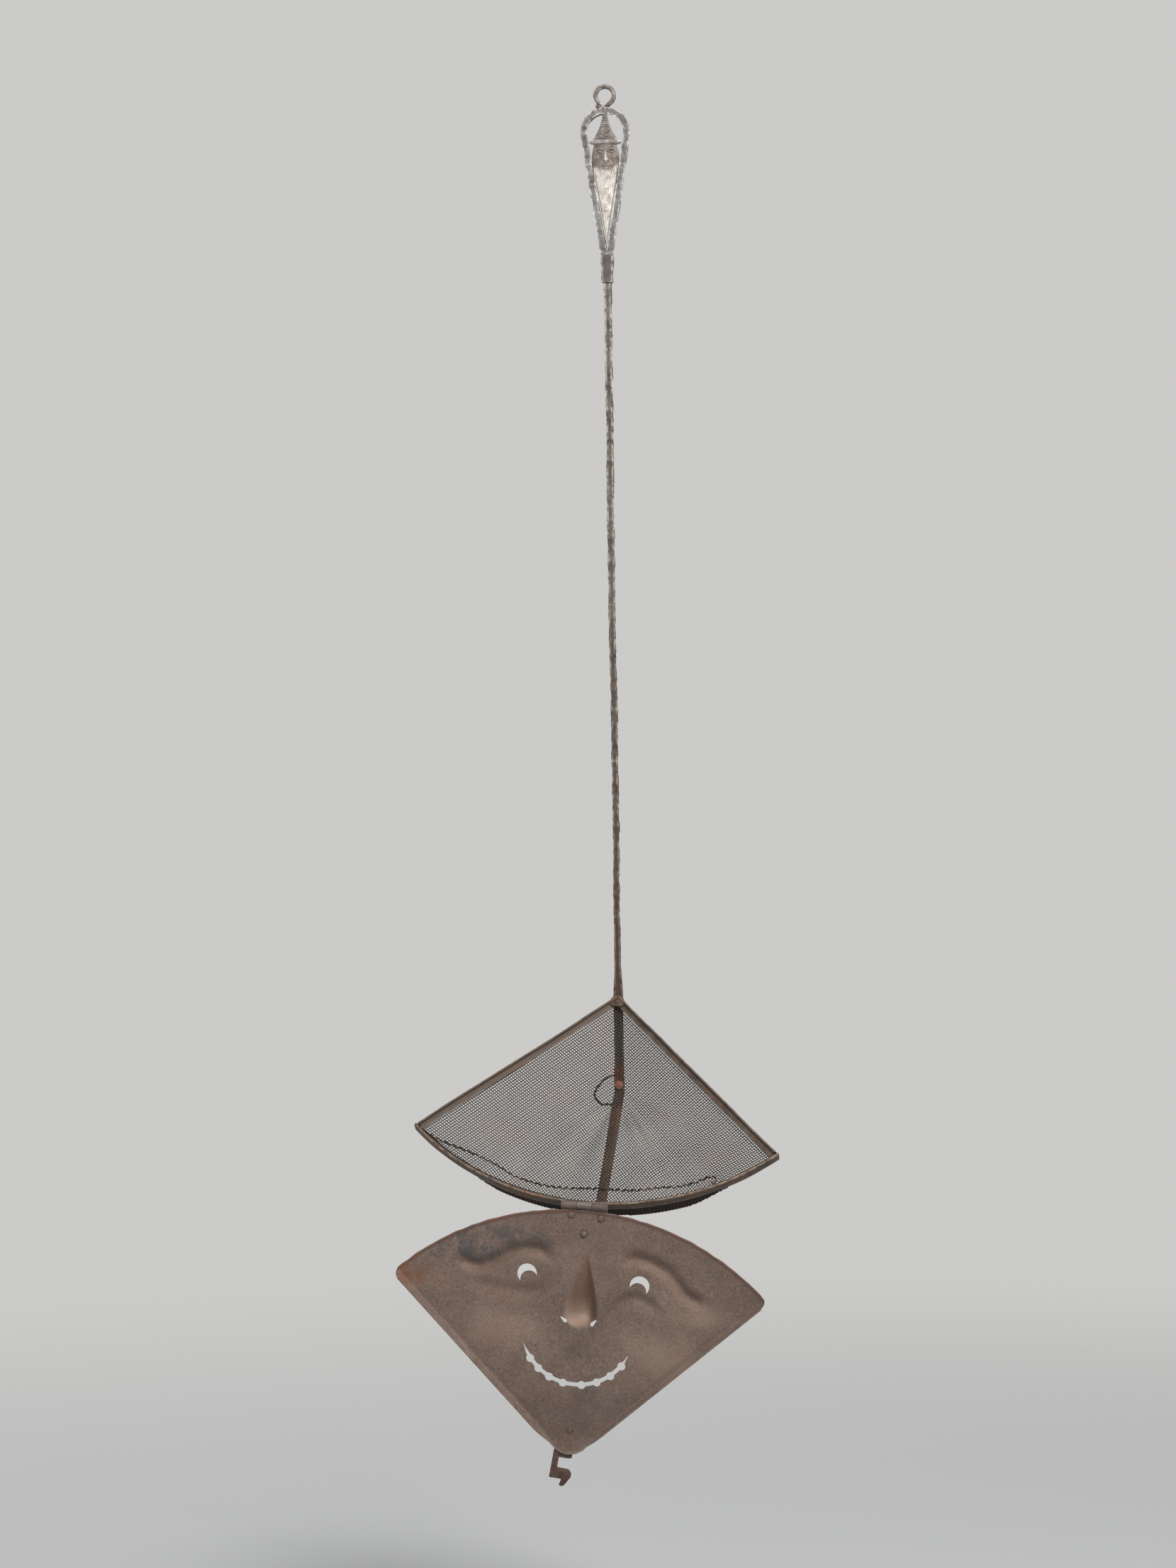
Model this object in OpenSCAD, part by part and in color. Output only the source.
// Long-handled chestnut roaster of wrought iron, hanging from its ring with the lid open.
// Origin at the centre of the hanging ring, +Z up along the handle, the open basket facing -Y.

/* [Hanging ring] */
// Radius of the eye that the wall peg passes through
eye_r = 7; // [5:0.5:10]
// Width of the ring's bar, across the eye
ring_bar_w = 4.7; // [3:0.1:6]
// Thickness of the ring's bar, front to back
ring_bar_t = 4.6; // [3:0.1:6]
// Radius of the small scroll that ends the bar
scroll_r = 3.4; // [2.5:0.1:4]

/* [Grip loop] */
// Outside width of the teardrop loop
loop_w = 51; // [44:1:60]
// Height of the loop from its crown to the collar
loop_h = 151.6; // [130:0.1:180]
// Width of the loop's bar, seen from the front
loop_bar = 7; // [5:0.5:8]
// Thickness of the loop's bar, front to back
loop_t = 6.4; // [5:0.2:8]
// Width across both legs where they enter the collar
neck_w = 12.9; // [11:0.1:16]

/* [Carved head] */
// Thickness of the carved plate, front to back
head_t = 5.2; // [4:0.2:6]
// Height of the conical hat
hat_h = 28.6; // [24:0.2:34]
// Width of the hat's brim
brim_w = 31; // [26:0.5:34]
// Number of ridges round the hat
hat_ridges = 11; // [5:1:14]
// Width of the face below the brim
face_w = 28; // [20:0.2:29]
// Height from the brim to the widest part of the cheeks
cheek_drop = 20; // [14:1:26]
// Length of the beard below the cheeks
beard_h = 70; // [50:1:76]

/* [Collar and rod] */
// Height of the tapered collar
collar_h = 26.9; // [20:0.1:40]
// Width of the collar at its top
collar_w = 13.7; // [13:0.1:18]
// Width of the collar at its bottom
collar_low_w = 11.3; // [10:0.1:14]
// Width of the rod below the collar
rod_w = 7.8; // [6:0.1:9]
// Width of the rod above the basket
rod_low_w = 6.4; // [5:0.1:8]
// Length of the rod from the collar to the basket's corner
rod_len = 724; // [500:1:900]
// Width of the flat tail that runs under the basket
tail_w = 9.7; // [8:0.1:12]
// Thickness of the flat tail
tail_t = 3; // [2:0.2:4]
// Distance from the basket's corner down to the tail's rivet
tail_len = 92; // [70:1:110]

/* [Basket] */
// Angle between the basket's mouth and the handle
rake = 36; // [25:1:45]
// Turn of the basket in its own plane, against the handle
skew = 5.8; // [0:0.1:8]
// Angle between the two straight sides
corner_angle = 94; // [88:1:98]
// Length of each straight side
side_len = 250; // [220:1:280]
// Radius of the curved side
arc_r = 267; // [240:1:300]
// Height of the folded rim band
rim_h = 11; // [9:0.5:14]
// Width of the rim's fold, seen from above
rim_w = 4; // [3.6:0.2:6]
// Height of the rim's inner lip
lip_h = 8; // [5:0.5:9]
// Thickness of the rim's sheet
rim_t = 1.1; // [0.8:0.1:1.3]
// Rise of the floor from the bend of the strap to the curved side
floor_rise = 10; // [4:1:16]
// Half-width of the floor at the curved side
floor_half = 98; // [80:1:115]
// Lean of the curved wall from the rim to the floor
wall_lean = 8; // [4:0.5:12]

/* [Wire cloth] */
// Thickness of the cloth panels
cloth_t = 1.4; // [1:0.1:1.8]
// Pitch of the openings
cloth_pitch = 14.5; // [13:0.5:18]
// Width of the bars between the openings
cloth_bar = 4; // [3:0.5:6]
// Width of the closed border of each panel
cloth_border = 4; // [3:0.5:6]
// Radius of the worn hole round the strap's rivet
tear_r = 11; // [8:0.5:14]
// Diameter of the lacing wire
lace_d = 2; // [1.5:0.1:2.5]
// Distance of the lacing from the curved wall
lace_inset = 38; // [30:1:45]

/* [Floor strap] */
// Width of the strap under the floor
strap_w = 10.4; // [8:0.1:13]
// Thickness of the strap
strap_t = 2.4; // [1.6:0.1:2.6]
// Length of the strap that lies on the handle's tail
strap_lap = 25; // [22:1:30]

/* [Hinge] */
// Width of the hinge over its three knuckles
hinge_w = 46; // [36:1:60]
// Diameter of the knuckles
knuckle_d = 7; // [6:0.2:9]
// Diameter of the hinge pin
pin_d = 3; // [2:0.1:4]
// Thickness of the hinge leaves
leaf_t = 1.5; // [1:0.1:2]
// Length of the leaf on the lid
leaf_len = 34; // [28:1:44]

/* [Lid] */
// Thickness of the lid's sheet
lid_t = 1.1; // [0.8:0.1:1.6]
// Overhang of the lid past each straight side
lid_over = 3.6; // [3:0.1:5]
// Depth of the turned-down edge along the straight sides
flange_h = 8; // [5:0.5:10]
// Radius of the rounded corner at the latch
lid_nose_r = 22; // [16:1:28]
// Radius of the two corners beside the curved side
lid_corner_r = 7; // [4:1:10]
// Height of the raised nose
nose_h = 15; // [8:1:20]
// Width of the raised nose at its wings
nose_w = 33; // [28:1:38]
// Length of the raised nose
nose_len = 72; // [60:1:80]
// Height of the raised brows
brow_h = 4.5; // [2:0.5:7]
// Width of the raised brows
brow_w = 13; // [10:0.5:16]
// Radius of the crescent eyes
eye_out_r = 9.4; // [7:0.2:11]
// Radius of each hole along the smile
smile_hole_r = 4; // [3:0.1:5]
// Width of the smile's slot between its holes
smile_slot = 3.2; // [2:0.1:4]

/* [Latch] */
// Thickness of the latch plate
latch_t = 1.6; // [1.2:0.1:2.2]
// Distance from the latch's rivet to the lid's corner
latch_set = 23.6; // [20:0.2:28]
// Width of the latch's side arm
latch_arm_w = 6; // [4:0.5:8]
// Depth of the latch's block below the notch
latch_end = 10.6; // [7:0.2:14]
// Length of the finger below the block
finger_len = 6.6; // [4:0.2:9]
// Reach of the block and the tongue past the pivot, beside the notch
latch_reach = 8.4; // [6:0.2:10]
// Angle between the resting latch and its closed place
latch_swing = 6; // [4:0.5:12]

/* [Fits] */
// Radial clearance of a pin that turns
run_fit = 0.05; // [0.02:0.01:0.1]
// Gap between pieces that are fixed together
seat = 0.1; // [0.05:0.05:0.3]
// Gap between pieces that pass each other
pass = 0.5; // [0.4:0.1:1]
// Radius of a rivet's shank
shank_r = 2; // [1.5:0.1:2.4]
// Radius of a rivet's head
rivet_r = 3.6; // [3:0.1:4.5]
// Height of a rivet's head
rivet_h = 1.7; // [1:0.1:2.5]

/* [Hidden] */
$fn = 48;

// Heights along the handle, from the ring's centre down
ring_out_r = eye_r + ring_bar_w;
loop_top = -ring_out_r - seat;
loop_low = loop_top - loop_h;
collar_low = loop_low - collar_h;
apex_z = collar_low - rod_len;
tenon_r = ring_bar_w * 0.42;

// Plan of the basket in the plane of its mouth: v across, u from the corner to the curved side
half_angle = corner_angle / 2;
corner_u = side_len * cos(half_angle);
corner_v = side_len * sin(half_angle);
arc_c = corner_u - sqrt(arc_r * arc_r - corner_v * corner_v);
arc_u = arc_c + arc_r;
arc_half = asin(corner_v / arc_r);

// The cloth hangs from just inside the rim's lip
cloth_in = rim_w + 0.3;
cloth_top = lip_h - 2;
tail_front = tail_t / 2;

// Bend of the strap, below the rivet, and the floor above it
bend_len = tail_len + 8;
lift = strap_t + cloth_t / 2 + 0.7;
bend_u = bend_len * cos(rake) + lift * sin(rake);
bend_w = bend_len * sin(rake) - lift * cos(rake);
bend_v = bend_len * cos(rake) * tan(skew);
floor_slope = floor_rise / (arc_u - bend_u);

function floor_w(u) = bend_w - floor_slope * (u - bend_u);
function wall_r(w) = arc_r - cloth_in - wall_lean * (w - cloth_top) / (bend_w - floor_rise - cloth_top);

// Length along a straight side to the circle of radius r, on a line d inside the side
function side_s(d, r) = arc_c * cos(half_angle) + sqrt(r * r - pow(arc_c * sin(half_angle) - d, 2));
// Point d inside the left side and s along it; side is -1 for left and 1 for right
function side_pt(side, d, s) = [side * (s * sin(half_angle) - d * cos(half_angle)),
    s * cos(half_angle) + d * sin(half_angle)];
// Point on the curved wall at angle a where it meets the floor, found by stepping down to it
function floor_edge(a, w, n = 4) = n == 0 ? [wall_r(w) * sin(a), arc_c + wall_r(w) * cos(a), w]
    : floor_edge(a, floor_w(arc_c + wall_r(w) * cos(a)), n - 1);
// Point of the mouth's frame from plan and depth
function at(p) = [p[0], -p[1], -p[2]];
function unit(p) = p / norm(p);

floor_a = asin(floor_half / wall_r(bend_w - floor_rise));
corner_s = side_s(cloth_in, arc_r - cloth_in);
bend = [bend_v, bend_u, bend_w];
corner_p = [for (side = [-1, 1]) concat(side_pt(side, cloth_in, corner_s), [cloth_top])];
floor_p = [for (side = [-1, 1]) floor_edge(side * floor_a, bend_w)];
corner_a = asin(corner_p[1][0] / (arc_r - cloth_in));

// Depth at plan point p of the plane through three points
function plane_w(t, p) = let (n = cross(t[1] - t[0], t[2] - t[0]))
    t[0][2] - (n[0] * (p[0] - t[0][0]) + n[1] * (p[1] - t[0][1])) / n[2];
gusset_t = [for (i = [0, 1]) [bend, corner_p[i], floor_p[i]]];
function gusset_edge(i, a, w, n = 6) = let (p = [wall_r(w) * sin(a), arc_c + wall_r(w) * cos(a)])
    n == 0 ? [p[0], p[1], w] : gusset_edge(i, a, plane_w(gusset_t[i], p), n - 1);

// Start of the wall panels, past the washer in the corner
wall_start = 26;
valley_t = wall_start / bend_len;
valley_p = [bend_v * valley_t, bend_u * valley_t, bend_w * valley_t];
side_t = [for (i = [0, 1]) [valley_p, bend, corner_p[i]]];
wall_top_p = [for (i = [0, 1]) let (p = side_pt(i == 0 ? -1 : 1, cloth_in, wall_start + 4))
    [p[0], p[1], plane_w(side_t[i], p)]];

// Hinge line, outside the curved band and level with the lid's sheet
hinge_u = arc_u + knuckle_d / 2 + pass;
hinge_z = 0.7;
knuckle_w = hinge_w / 3;
lid_z = 0.6;
lid_top = lid_z + lid_t;
lid_arc_r = arc_r - 0.2;
lid_open = 180 + atan(tan(rake) / cos(skew));

// The lid's own plan
lid_tip_u = -lid_over / sin(half_angle) + lid_nose_r * (1 / sin(half_angle) - 1);
latch_u = lid_tip_u + latch_set;
flange_start = lid_nose_r / tan(half_angle) + 4;

// The tail crosses the latch's plane on the slant, so the notch is longer than the tail is thick
latch_z = lid_top + 0.2;
tail_near_u = -latch_z / tan(rake);
tail_far_u = -(latch_z + latch_t) / tan(rake) - tail_t / sin(rake);
tail_turn = tail_w / 2 * sin(skew);
notch_near = latch_u - tail_near_u - tail_turn - 0.8;
notch_far = latch_u - tail_far_u + tail_turn + 0.9;
notch_x = -(tail_w / 2 / cos(skew) - tail_far_u * tan(skew) + pass);
arm_tip = 2.4;

module mouth_frame() {
    translate([0, -tail_front, apex_z])
        rotate([90 - rake, 0, 0])
            rotate([0, 0, -skew])
                children();
}

module lid_frame() {
    mouth_frame()
        translate([0, -hinge_u, hinge_z])
            rotate([lid_open, 0, 0])
                translate([0, hinge_u, -hinge_z])
                    children();
}

// Tail's own frame: y down along the tail from the basket's corner, z out of its front face
module tail_frame() {
    translate([0, -tail_front, apex_z])
        rotate([90, 0, 0])
            children();
}

// Domed rivet with its seat at z = 0 and its shank down to -length
module rivet(length, r = rivet_r, h = rivet_h, shank = shank_r) {
    ball = (r * r + h * h) / (2 * h);
    intersection() {
        translate([0, 0, h - ball])
            sphere(ball);
        cylinder(h = h, r = r);
    }
    translate([0, 0, -length])
        cylinder(h = length + 0.01, r = shank);
}

module hanging_ring() {
    color("dimgray") {
        rotate([90, 0, 0]) {
            rotate([0, 0, -98])
                rotate_extrude(angle = 321)
                    translate([eye_r, -ring_bar_t / 2])
                        square([ring_bar_w, ring_bar_t]);
            rotate([0, 0, 232])
                translate([ring_out_r - 0.5, 0, 0])
                    scroll();
        }
        translate([0, 0, loop_top - loop_bar])
            cylinder(h = loop_bar + ring_bar_w * 0.6, r = tenon_r);
    }
}

module scroll() {
    linear_extrude(ring_bar_t - 0.4, center = true)
        difference() {
            circle(scroll_r);
            circle(scroll_r * 0.3);
        }
}

// Points of an arc, n steps from one angle to the other
function arc_pts(centre, r, from, to, n) = [for (k = [0 : n])
    let (a = from + (to - from) * k / n) centre + r * [cos(a), sin(a)]];

// Crown bent round the loop's width, running into two straight legs that close in a point
module grip_loop() {
    centre = [0, loop_top - loop_w / 2];
    foot = [neck_w / 2, loop_low];
    to_foot = foot - centre;
    lean = atan2(to_foot[1], to_foot[0]) + acos(loop_w / 2 / norm(to_foot));
    outer = arc_pts(centre, loop_w / 2, lean, 180 - lean, 40);
    inner = arc_pts(centre, loop_w / 2 - loop_bar, lean, 180 - lean, 40);
    fall = (foot[1] - outer[0][1]) / (outer[0][0] - foot[0]);
    fork = [0, inner[0][1] + inner[0][0] * fall];
    color("slategray")
        difference() {
            rotate([90, 0, 0])
                linear_extrude(loop_t, center = true)
                    difference() {
                        polygon(concat(outer, [[-foot[0], foot[1]], foot]));
                        polygon(concat(inner, [fork]));
                    }
            translate([0, 0, loop_top - loop_bar - 1])
                cylinder(h = loop_bar + 2, r = tenon_r + seat);
        }
}

// Turned outline of hat, face and beard, flattened front and back to a thick plate
module carved_head() {
    hat_top = loop_top - loop_bar - seat;
    brim = hat_top - hat_h;
    cheek = brim - cheek_drop;
    step = hat_h / hat_ridges;
    tip_r = tenon_r + 0.2;
    function hat_r(k) = tip_r + (brim_w / 2 - tip_r) * pow(k / hat_ridges, 1.35);
    outline = concat(
        [[0, hat_top], [tip_r, hat_top]],
        [for (k = [1 : hat_ridges], e = [0, 1]) [hat_r(k) - 0.35 * e, hat_top - step * (k - 0.25 + 0.25 * e)]],
        [[face_w / 2 - 1.6, brim - 1], [face_w / 2, cheek + cheek_drop * 0.45], [face_w / 2 - 0.6, cheek],
            [1.2, cheek - beard_h], [0, cheek - beard_h]]);
    color("gray")
        intersection() {
            rotate_extrude()
                polygon(outline);
            cube([brim_w * 2, head_t, 1000], center = true);
        }
}

module collar() {
    color("dimgray")
        translate([0, 0, collar_low])
            difference() {
                intersection() {
                    collar_side(1);
                    rotate([0, 0, 90])
                        collar_side(0.84);
                }
                translate([0, 0, collar_h / 2])
                    cube([rod_w * 0.7 + 2 * seat, rod_w * 0.7 + 2 * seat, collar_h + 1], center = true);
            }
}

module collar_side(share) {
    rotate([90, 0, 0])
        linear_extrude(collar_w * 2, center = true)
            polygon([[-collar_low_w / 2 * share, 0], [collar_low_w / 2 * share, 0],
                [collar_w / 2 * share, collar_h], [-collar_w / 2 * share, collar_h]]);
}

// Square bar with worn edges
module bar_section(w) {
    cut = w * 0.16;
    h = w / 2;
    polygon([[-h, cut - h], [cut - h, -h], [h - cut, -h], [h, cut - h],
        [h, h - cut], [h - cut, h], [cut - h, h], [-h, h - cut]]);
}

module handle_rod() {
    flat_top = apex_z + 13;
    blend_top = flat_top + 16;
    color("saddlebrown") {
        difference() {
            union() {
                hull() {
                    translate([0, 0, collar_low - 0.01])
                        linear_extrude(0.01)
                            bar_section(rod_w);
                    translate([0, 0, blend_top])
                        linear_extrude(0.01)
                            bar_section(rod_low_w);
                }
                hull() {
                    translate([0, 0, blend_top])
                        linear_extrude(0.01)
                            bar_section(rod_low_w);
                    translate([0, 0, flat_top])
                        cube([tail_w, tail_t, 0.01], center = true);
                }
                translate([-tail_w / 2, -tail_t / 2, apex_z - tail_len - 6])
                    cube([tail_w, tail_t, flat_top - apex_z + tail_len + 6]);
            }
            tail_holes(seat);
        }
        translate([0, 0, collar_low + collar_h / 2 - 1])
            cube([rod_w * 0.7, rod_w * 0.7, collar_h + 2], center = true);
    }
}

washer_len = 16;
module tail_holes(gap) {
    for (d = [washer_len, tail_len])
        tail_frame()
            translate([0, -d, -20])
                cylinder(h = 40, r = shank_r + gap);
}

module apex_washer() {
    color("sienna")
        difference() {
            tail_frame()
                translate([0, -washer_len, 0])
                    cylinder(h = 1, r = 5.2);
            tail_holes(seat);
        }
}

module apex_rivet() {
    color("darkslategray")
        tail_frame()
            translate([0, -washer_len, 1])
                rivet(1 + tail_t);
}

module strap_rivet() {
    color("sienna")
        tail_frame()
            translate([0, -tail_len, strap_t])
                rivet(strap_t + tail_t, r = 4.6);
}

// Strap lapped on the handle's tail, bent under the floor and turned up the curved wall
module floor_strap() {
    color("firebrick") {
        difference() {
            tail_frame()
                translate([-strap_w / 2, -bend_len - 1, 0])
                    cube([strap_w, strap_lap + 1, strap_t]);
            tail_holes(seat);
        }
        mouth_frame()
            translate([bend_v - strap_w / 2, 0, 0])
                rotate([90, 0, 90])
                    linear_extrude(strap_w)
                        strap_run();
    }
}

// Outer face of the curved wall at depth w, on the centre line
function cloth_out(w) = arc_c + wall_r(w);

// Side view of the strap from its bend to its turned-up end, which stops under the rim band
module strap_run() {
    under = cloth_t / 2 + 0.2;
    start_u = bend_u - 1.5;
    low_w = floor_w(arc_u) + under + strap_t;
    low_u = cloth_out(low_w) + 0.3;
    top_w = rim_h + seat;
    top_u = cloth_out(top_w) + 0.3;
    side = [[start_u, floor_w(start_u) + under], [low_u, floor_w(low_u) + under], [top_u, top_w],
        [top_u + strap_t, top_w], [low_u + strap_t, floor_w(low_u) + under + strap_t],
        [start_u, floor_w(start_u) + under + strap_t]];
    polygon([for (p = side) -p]);
}

// Section of the folded rim: x inward from the outer face, y up
module rim_section() {
    polygon([[0, 0], [rim_w, 0], [rim_w, -lip_h], [rim_w - rim_t, -lip_h], [rim_w - rim_t, -rim_t],
        [rim_t, -rim_t], [rim_t, -rim_h], [0, -rim_h]]);
}

module rim_side(side) {
    difference() {
        intersection() {
            mouth_frame()
                mirror([side > 0 ? 1 : 0, 0, 0])
                    rotate([90, 0, -half_angle])
                        linear_extrude(side_len)
                            rim_section();
            mouth_frame()
                translate([0, -arc_c, -rim_h * 2])
                    cylinder(h = rim_h * 4, r = arc_r - rim_w - seat, $fn = 180);
        }
        tail_slot();
    }
}

// Room for the handle's tail between the ends of the two straight bands
module tail_slot() {
    translate([0, 0, apex_z])
        cube([tail_w + 2 * seat, 40, 60], center = true);
}

module rim_left() {
    color("rosybrown")
        rim_side(-1);
}

module rim_right() {
    color("rosybrown")
        rim_side(1);
}

module rim_arc() {
    color("rosybrown")
        difference() {
            intersection() {
                mouth_frame()
                    translate([0, -arc_c, 0])
                        rotate([0, 0, -90 - arc_half - 2])
                            rotate_extrude(angle = 2 * arc_half + 4, $fn = 180)
                                translate([arc_r, 0])
                                    mirror([1, 0, 0])
                                        rim_section();
                mouth_frame()
                    translate([0, 0, -rim_h * 2])
                        linear_extrude(rim_h * 4)
                            polygon([[0, 0], [-corner_v * 2, -corner_u * 2], [corner_v * 2, -corner_u * 2]]);
            }
            band_holes(shank_r * 0.6 + seat);
        }
}

// Rivets of the curved band: beside the hinge and near both corners
rivet_angles = [-36, -30, 30, 36];
module band_holes(r) {
    for (a = rivet_angles)
        on_band(a)
            translate([0, 0, -2])
                cylinder(h = 4, r = r);
    for (side = [-1, 1])
        mouth_frame()
            translate([side * leaf_rivet_x, -arc_u, -leaf_rivet_w])
                rotate([90, 0, 0])
                    cylinder(h = 8, r = r, center = true);
}

module on_band(a) {
    mouth_frame()
        translate([0, -arc_c, -rim_h * 0.62])
            rotate([0, 0, -90 + a])
                translate([arc_r, 0, 0])
                    rotate([0, 90, 0])
                        children();
}

module rim_rivets() {
    color("peru")
        for (a = rivet_angles)
            on_band(a)
                translate([0, 0, 0.05])
                    rivet(rim_t + 0.1, r = 2.3, h = 1, shank = shank_r * 0.6);
}

// Corner points of a polygon drawn in by d on every side, for points running anticlockwise
function drawn_in(pts, d) = [for (i = [0 : len(pts) - 1])
    let (n = len(pts), a = pts[(i + n - 1) % n], b = pts[i], c = pts[(i + 1) % n],
        e = unit(b - a), f = unit(c - b), ne = [-e[1], e[0]], nf = [-f[1], f[0]],
        turn = ne * nf)
    b + d * (ne + nf) / (1 + turn)];

// Flat panel of cloth through points of the mouth's frame, its openings lined up with one side
module cloth_panel(pts, along) {
    p = [for (q = pts) at(q)];
    ez = unit(cross(p[1] - p[0], p[len(p) - 1] - p[0]));
    line = at(along);
    ex = unit(line - ez * (ez * line));
    ey = cross(ez, ex);
    flat = [for (q = p) [(q - p[0]) * ex, (q - p[0]) * ey]];
    xs = [for (q = flat) q[0]];
    ys = [for (q = flat) q[1]];
    hole = cloth_pitch - cloth_bar;
    mouth_frame()
        multmatrix([[ex[0], ey[0], ez[0], p[0][0]], [ex[1], ey[1], ez[1], p[0][1]], [ex[2], ey[2], ez[2], p[0][2]]])
            linear_extrude(cloth_t, center = true)
                difference() {
                    polygon(drawn_in(flat, 0.6));
                    intersection() {
                        polygon(drawn_in(flat, cloth_border));
                        for (x = [min(xs) + cloth_border : cloth_pitch : max(xs)],
                            y = [min(ys) + cloth_border : cloth_pitch : max(ys)])
                            translate([x, y])
                                square(hole);
                    }
                }
}

// Worn hole in the cloth round the strap's rivet
module tear() {
    tail_frame()
        translate([-tear_r * 0.3, -tail_len, -5])
            cylinder(h = 40, r = tear_r);
}

side_line = [for (side = [-1, 1]) [side * sin(half_angle), cos(half_angle), 0]];

module wall_cloth(i) {
    pts = [wall_top_p[i], corner_p[i], bend, valley_p];
    difference() {
        cloth_panel(i == 0 ? pts : [for (k = [3 : -1 : 0]) pts[k]], side_line[i]);
        tear();
    }
}

module wall_cloth_left() {
    color("darkgray")
        wall_cloth(0);
}

module wall_cloth_right() {
    color("darkgray")
        wall_cloth(1);
}

edge_steps = 6;
module gusset_cloth(i) {
    side = i == 0 ? -1 : 1;
    edge = [for (k = [0 : edge_steps])
        gusset_edge(i, side * (corner_a + (floor_a - corner_a) * k / edge_steps), cloth_top)];
    pts = concat([bend], edge);
    difference() {
        cloth_panel(i == 0 ? pts : [for (k = [len(pts) - 1 : -1 : 0]) pts[k]], side_line[i]);
        tear();
    }
}

module gusset_cloth_left() {
    color("gainsboro")
        gusset_cloth(0);
}

module gusset_cloth_right() {
    color("gainsboro")
        gusset_cloth(1);
}

module floor_cloth() {
    edge = [for (k = [0 : 2 * edge_steps]) floor_edge(floor_a * (k / edge_steps - 1), bend_w)];
    color("silver")
        difference() {
            cloth_panel(concat([bend], edge), side_line[0]);
            tear();
        }
}

// Curved wall: a leaning sheet between the rim and the floor, with its own rows of openings
module arc_cloth() {
    low = bend_w + 4;
    top_r = wall_r(cloth_top);
    low_r = wall_r(low);
    rows = 2;
    color("darkgray")
        difference() {
            mouth_frame()
                translate([0, -arc_c, 0])
                    rotate([0, 0, -90 - corner_a + 0.4])
                        rotate_extrude(angle = 2 * corner_a - 0.8, $fn = 180)
                            polygon([[top_r - cloth_t, -cloth_top + 1.5], [top_r, -cloth_top + 1.5],
                                [low_r, -low], [low_r - cloth_t, -low]]);
            mouth_frame()
                below([bend, floor_p[0], floor_p[1]]);
            for (i = [0, 1])
                mouth_frame()
                    below(i == 0 ? gusset_t[0] : [gusset_t[1][0], gusset_t[1][2], gusset_t[1][1]]);
            arc_openings(rows);
        }
}

// Everything on the far side of a panel's plane
module below(t) {
    p = [for (q = t) at(q)];
    n = unit(cross(p[1] - p[0], p[2] - p[0]));
    ez = n[2] > 0 ? n : -n;
    ex = unit(p[1] - p[0]);
    ey = cross(ez, ex);
    multmatrix([[ex[0], ey[0], ez[0], p[0][0]], [ex[1], ey[1], ez[1], p[0][1]], [ex[2], ey[2], ez[2], p[0][2]]])
        translate([-600, -600, -200 + cloth_t / 2 + 0.1])
            cube([1200, 1200, 200]);
}

module arc_openings(rows) {
    hole = cloth_pitch - cloth_bar;
    step = cloth_pitch / arc_r * 180 / PI;
    count = floor((corner_a - 4) / step);
    for (k = [-count : count], row = [0 : rows - 1]) {
        a = k * step;
        floor_here = min(floor_edge(a, bend_w)[2], gusset_edge(0, -abs(a), cloth_top)[2]);
        top = rim_h + 1.5 + row * cloth_pitch;
        if (top + hole + cloth_border < floor_here)
            mouth_frame()
                translate([0, -arc_c, -top - hole])
                    rotate([0, 0, -90 + a])
                        translate([arc_r - 30, -hole / 2, 0])
                            cube([40, hole, hole]);
    }
}

// Wire that laces the curved wall's foot to the floor, swept along the seam
function cloth_depth(p) = min(floor_w(p[1]), plane_w(gusset_t[0], p), plane_w(gusset_t[1], p),
    plane_w(side_t[0], p), plane_w(side_t[1], p));
lace_steps = 44;
lace_a = 38;
function lace_pt(k) = let (a = lace_a * (2 * k / lace_steps - 1),
        r = arc_r - cloth_in - lace_inset * (1 - pow(abs(a) / lace_a, 4) * 0.8),
        p = [r * sin(a), arc_c + r * cos(a)])
    at([p[0], p[1], cloth_depth(p) - cloth_t / 2 - lace_d / 2 - 0.5]);

module lacing_wire() {
    sides = 6;
    path = [for (k = [0 : lace_steps]) lace_pt(k)];
    rings = [for (k = [0 : lace_steps])
        let (t = unit(path[min(k + 1, lace_steps)] - path[max(k - 1, 0)]), side = unit(cross(t, [0, 0, 1])),
            up = cross(side, t))
        [for (s = [0 : sides - 1]) path[k] + lace_d / 2 * (side * cos(s * 360 / sides) - up * sin(s * 360 / sides))]];
    color("saddlebrown")
        mouth_frame()
            skin(rings);
}

// Closed skin over a row of rings that all have the same number of points
module skin(rings) {
    n = len(rings[0]);
    last = len(rings) - 1;
    faces = concat(
        [[for (s = [0 : n - 1]) s]],
        [for (k = [0 : last - 1], s = [0 : n - 1], half = [0, 1])
            let (a = k * n + s, b = k * n + (s + 1) % n)
            half == 0 ? [a, a + n, b] : [b, a + n, b + n]],
        [[for (s = [n - 1 : -1 : 0]) last * n + s]]);
    polyhedron([for (r = rings, p = r) p], faces);
}

// Places of the basket leaf's rivets on the curved band
leaf_plate_w = hinge_w - 4;
leaf_rivet_x = leaf_plate_w / 2 - 5;
leaf_neck = knuckle_d / 2 + 1.2;
leaf_rivet_w = leaf_neck - hinge_z + (rim_h - leaf_neck + hinge_z) / 2;

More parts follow.
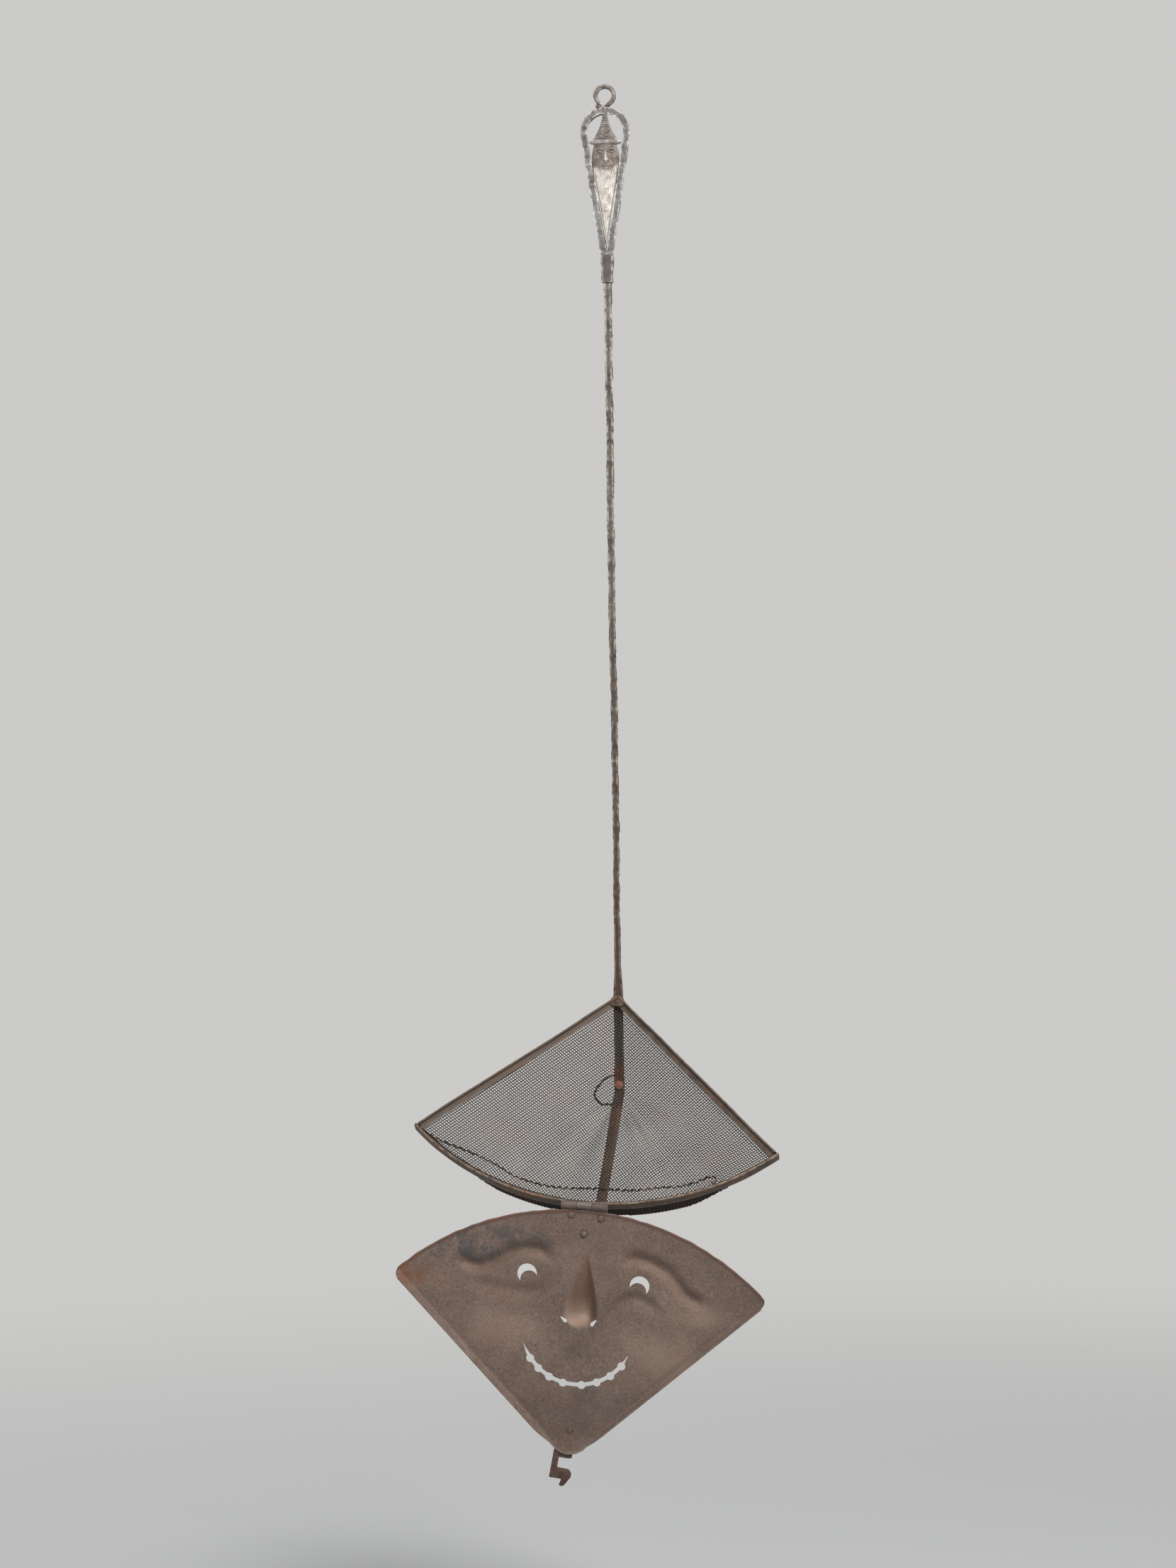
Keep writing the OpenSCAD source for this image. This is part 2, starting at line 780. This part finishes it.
module hinge_leaf_basket() {
    color("lightsteelblue")
        mouth_frame()
            translate([0, -hinge_u, hinge_z])
                difference() {
                    union() {
                        rotate([0, 90, 0])
                            cylinder(h = knuckle_w - pass, d = knuckle_d, center = true);
                        translate([-knuckle_w / 2 + pass / 2, hinge_u - arc_u - leaf_t - seat, -leaf_neck - 1])
                            cube([knuckle_w - pass, leaf_t, leaf_neck + 1]);
                        translate([-leaf_plate_w / 2, hinge_u - arc_u - leaf_t - seat, -hinge_z - rim_h])
                            cube([leaf_plate_w, leaf_t, hinge_z + rim_h - leaf_neck]);
                    }
                    rotate([0, 90, 0])
                        cylinder(h = hinge_w, d = pin_d + 2 * run_fit, center = true);
                    for (side = [-1, 1])
                        translate([side * leaf_rivet_x, 0, -leaf_rivet_w - hinge_z])
                            rotate([90, 0, 0])
                                cylinder(h = 20, r = shank_r * 0.6 + seat, center = true);
                }
}

module hinge_rivets_basket() {
    color("peru")
        for (side = [-1, 1])
            mouth_frame()
                translate([side * leaf_rivet_x, -arc_u - leaf_t - seat, -leaf_rivet_w])
                    rotate([90, 0, 0])
                        rivet(leaf_t + 1.6, r = 2.3, h = 1, shank = shank_r * 0.6);
}

module hinge_pin() {
    color("lightgray")
        mouth_frame()
            translate([0, -hinge_u, hinge_z])
                rotate([0, 90, 0])
                    cylinder(h = hinge_w, d = pin_d, center = true);
}

// Lid's plan as one outline: the curved side, two straight sides and three rounded corners
lid_side_end = side_s(lid_corner_r - lid_over, lid_arc_r - lid_corner_r);
lid_corner_p = side_pt(1, lid_corner_r - lid_over, lid_side_end);
lid_arc_a = atan2(arc_c - lid_corner_p[1], lid_corner_p[0]);

module lid_plan() {
    curve = arc_pts([0, -arc_c], lid_arc_r, -180 - lid_arc_a, lid_arc_a, 72);
    polygon(concat(
        [for (k = [1 : len(curve) - 2]) curve[k]],
        arc_pts([lid_corner_p[0], -lid_corner_p[1]], lid_corner_r, lid_arc_a, half_angle, 8),
        arc_pts([0, (lid_over - lid_nose_r) / sin(half_angle)], lid_nose_r, half_angle, 180 - half_angle, 12),
        arc_pts([-lid_corner_p[0], -lid_corner_p[1]], lid_corner_r, 180 - half_angle, 180 - lid_arc_a, 8)));
}

module lid_pan() {
    color("tan")
        lid_frame()
            difference() {
                union() {
                    translate([0, 0, lid_z])
                        linear_extrude(lid_t)
                            lid_plan();
                    for (side = [-1, 1])
                        lid_flange(side);
                    face_relief(lid_top - press_sink, lid_z + press_sink);
                }
                face_relief(lid_z - press_sink, lid_z - 2);
                translate([0, 0, lid_z - 10])
                    linear_extrude(60)
                        lid_cuts();
            }
}

// Turned-down edge along a straight side, stopping short of the rounded corners
module lid_flange(side) {
    mirror([side > 0 ? 1 : 0, 0, 0])
        rotate([90, 0, -half_angle])
            translate([-lid_over, lid_z - flange_h, flange_start])
                cube([lid_t, flange_h + lid_t / 2, lid_side_end - flange_start - 1]);
}

// Places on the lid: v across, h from the hinge line toward the latch
function on_lid(v, h) = [v, h - hinge_u];
nose_top = 47;
nose_v = 2;
nose_steps = 16;

// Each brow: centre, turn, half-length and the wave of its line
brow_at = [[73, 60], [87, 71]];
brow_turn = [12, 27];
brow_half = [46, 54];
brow_dip = [-21, -28];
brow_len = [88, 112];
brow_wave = 7.5;
brow_steps = 18;

// The pressed shapes start this far inside the sheet, so that they run into it cleanly
press_sink = 0.3;
across = [-1, -0.66, -0.33, 0, 0.33, 0.66, 1];

function hump(t) = abs(t) >= 1 ? 0 : pow(cos(90 * t), 2);

// Height along the nose, f from its root to its end: it climbs, then drops at the tip
function nose_climb(f) = max(0.012, f < 0.82 ? sin(90 * f / 0.82) : cos(90 * (f - 0.82) / 0.18));
function nose_line(f) = let (wide = nose_w / 2 * (0.5 + 0.6 * f))
    [for (t = across) [nose_v + wide * t, nose_top + nose_len * f - hinge_u, nose_h * nose_climb(f) * hump(t)]];

// Height along a brow: a rounded band on a waving line that fades at both ends
function brow_fade(i, x) = max(0.04, min(1, (brow_half[i] - abs(x)) / 12));
function brow_line(i, x) = let (y = -brow_wave * cos(360 * (x - brow_dip[i]) / brow_len[i]))
    [for (t = across) [x, y - brow_w * 0.7 * t, brow_h * brow_fade(i, x) * hump(t)]];

module on_brow(i) {
    mirror([1 - i, 0, 0])
        translate(on_lid(brow_at[i][0], brow_at[i][1]))
            rotate(brow_turn[i])
                children();
}

// Solid under a row of pressed lines, their heights counted from top and its underside at low
module pressed(lines, top, low) {
    last = len(across) - 1;
    skin([for (line = lines) concat([for (p = line) [p[0], p[1], top + p[2]]],
        [[line[last][0], line[last][1], low], [line[0][0], line[0][1], low]])]);
}

module face_relief(top, low) {
    pressed([for (k = [0 : nose_steps]) nose_line(k / nose_steps)], top, low);
    for (i = [0, 1])
        on_brow(i)
            pressed([for (k = [0 : brow_steps]) brow_line(i, brow_half[i] * (2 * k / brow_steps - 1))], top, low);
}

eye_at = [[-53, 70], [58, 74]];
eye_turn = [-16, 13];
eye_shift = 3.8;
smile_mid = [1.5, 119];
smile_r = 56;
smile_holes = 8;
smile_end = 53;
smile_tip = 69;

module lid_cuts() {
    for (i = [0, 1])
        translate(on_lid(eye_at[i][0], eye_at[i][1]))
            rotate(eye_turn[i])
                crescent();
    translate(on_lid(smile_mid[0], smile_mid[1]))
        smile();
    for (side = [-1, 1])
        translate(on_lid(nose_v + side * nose_w * 0.46, nose_top + nose_len * 0.9))
            rotate(side * 38)
                nostril();
    translate([0, -latch_u])
        circle(shank_r + seat);
    for (p = lid_rivet_at)
        translate(on_lid(p[0], p[1]))
            circle(shank_r + seat);
}

module crescent() {
    difference() {
        circle(eye_out_r);
        translate([0, eye_shift])
            circle(eye_out_r * 0.81);
    }
}

module nostril() {
    square([6, 2.2], center = true);
    translate([3, 0])
        circle(1.6);
}

// Curved slot with pointed ends and round holes along it
module smile() {
    far = smile_r * 2;
    for (k = [0 : smile_holes - 1])
        rotate(smile_end * (2 * k / (smile_holes - 1) - 1))
            translate([0, smile_r])
                circle(smile_hole_r);
    intersection() {
        difference() {
            circle(smile_r + smile_slot / 2);
            circle(smile_r - smile_slot / 2);
        }
        polygon([[0, 0], far * [-sin(smile_end), cos(smile_end)], [0, far], far * [sin(smile_end), cos(smile_end)]]);
    }
    for (side = [-1, 1])
        polygon([(smile_r - smile_slot / 2) * [side * sin(smile_end), cos(smile_end)],
            (smile_r + smile_slot / 2) * [side * sin(smile_end), cos(smile_end)],
            smile_r * [side * sin(smile_tip), cos(smile_tip)]]);
}

lid_rivet_at = [[-13, 12.4], [17, 12.4], [1, 28]];

module hinge_leaf_lid() {
    plate_far = leaf_len;
    color("rosybrown")
        lid_frame()
            difference() {
                union() {
                    for (side = [-1, 1])
                        translate([side * knuckle_w, -hinge_u, hinge_z])
                            rotate([0, 90, 0])
                                cylinder(h = knuckle_w - pass, d = knuckle_d, center = true);
                    for (side = [-1, 1])
                        translate([side * knuckle_w - (knuckle_w - pass) / 2, -hinge_u, lid_top + seat])
                            cube([knuckle_w - pass, knuckle_d, leaf_t]);
                    translate([0, 0, lid_top + seat])
                        linear_extrude(leaf_t)
                            polygon([on_lid(-hinge_w / 2 + pass / 2, knuckle_d / 2 + pass),
                                on_lid(-hinge_w / 2 + pass / 2, 14), on_lid(-5, plate_far), on_lid(5, plate_far),
                                on_lid(hinge_w / 2 - pass / 2, 14), on_lid(hinge_w / 2 - pass / 2, knuckle_d / 2 + pass)]);
                }
                translate([0, -hinge_u, hinge_z])
                    rotate([0, 90, 0])
                        cylinder(h = hinge_w * 2, d = pin_d + 2 * run_fit, center = true);
                for (p = lid_rivet_at)
                    translate(concat(on_lid(p[0], p[1]), [0]))
                        cylinder(h = 20, r = shank_r + seat, center = true);
            }
}

module hinge_rivets_lid() {
    color("peru")
        lid_frame()
            for (p = lid_rivet_at)
                translate(concat(on_lid(p[0], p[1]), [lid_z]))
                    rotate([180, 0, 0])
                        rivet(lid_t + seat + leaf_t, r = 2.8);
}

module latch_rivet() {
    color("peru")
        lid_frame()
            translate([0, -latch_u, 0]) {
                translate([0, 0, lid_z])
                    rotate([180, 0, 0])
                        rivet(lid_t + latch_t + 0.4);
                translate([0, 0, latch_z + latch_t + 0.1])
                    cylinder(h = 1.2, r = rivet_r);
            }
}

// Flat hook that swings on the lid and takes the handle's tail in its notch
module latch_hook() {
    left = notch_x - latch_arm_w;
    low = notch_far + latch_end;
    tongue = latch_reach - 2;
    color("brown")
        lid_frame()
            translate([0, -latch_u, latch_z])
                rotate([0, 0, latch_swing])
                    linear_extrude(latch_t)
                        difference() {
                            union() {
                                circle(rivet_r + 2.2);
                                polygon([[-5.4, 0], [5.2, 0], [tongue, notch_near - 5], [tongue, notch_near - 1],
                                    [arm_tip, notch_near], [notch_x, notch_near], [notch_x, notch_far],
                                    [latch_reach - 3, notch_far], [latch_reach, notch_far + 3.4],
                                    [latch_reach, notch_far + 7], [latch_reach - 1.4, low + finger_len - 1.6],
                                    [latch_reach - 3, low + finger_len], [latch_reach - 5.8, low + finger_len],
                                    [latch_reach - 6.4, low], [left + 2.6, low + 1.4], [left, low - 1.6],
                                    [left, notch_near - 6]]);
                            }
                            circle(shank_r + run_fit);
                        }
}

hanging_ring();
grip_loop();
carved_head();
collar();
handle_rod();
apex_washer();
apex_rivet();
strap_rivet();
floor_strap();
rim_left();
rim_right();
rim_arc();
wall_cloth_left();
wall_cloth_right();
gusset_cloth_left();
gusset_cloth_right();
floor_cloth();
arc_cloth();
lacing_wire();
rim_rivets();
hinge_leaf_basket();
hinge_rivets_basket();
hinge_pin();
lid_pan();
hinge_leaf_lid();
hinge_rivets_lid();
latch_rivet();
latch_hook();
